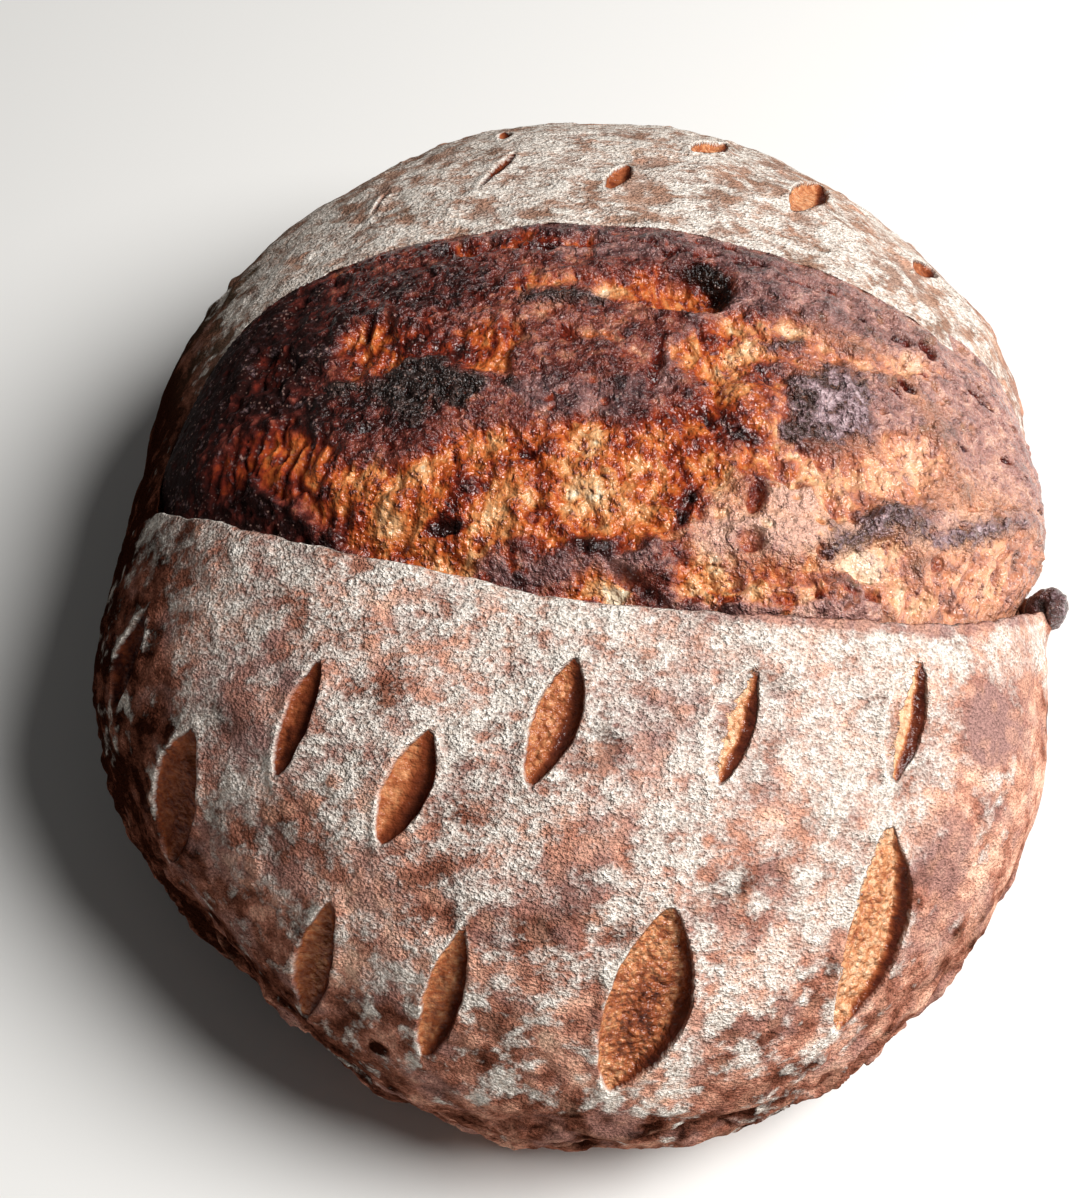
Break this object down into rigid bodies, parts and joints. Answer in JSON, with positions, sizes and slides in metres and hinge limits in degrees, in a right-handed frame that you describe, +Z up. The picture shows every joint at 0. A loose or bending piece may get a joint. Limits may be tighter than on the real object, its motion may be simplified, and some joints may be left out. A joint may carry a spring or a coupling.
{
  "type": "sourdough loaf",
  "caption": "Round crusty loaf with a wide burst score across its crown and small leaf-shaped cuts in the floured crust.",
  "frame": {"origin": "middle of the flat base, at the centre of the loaf's outline", "axes": "+Z up from the base, -Y towards the large floured front crust below the score, +X towards the score's right end with the burnt ear"},
  "size_m": [0.2208, 0.2653, 0.1089],
  "materials": {
    "baked_crust": "dry baked crust, brown under a thin dusting of flour, darker and glossier in the burst score"
  },
  "bodies": {
    "root": {"loaf": "baked_crust"}
  },
  "joints": []
}
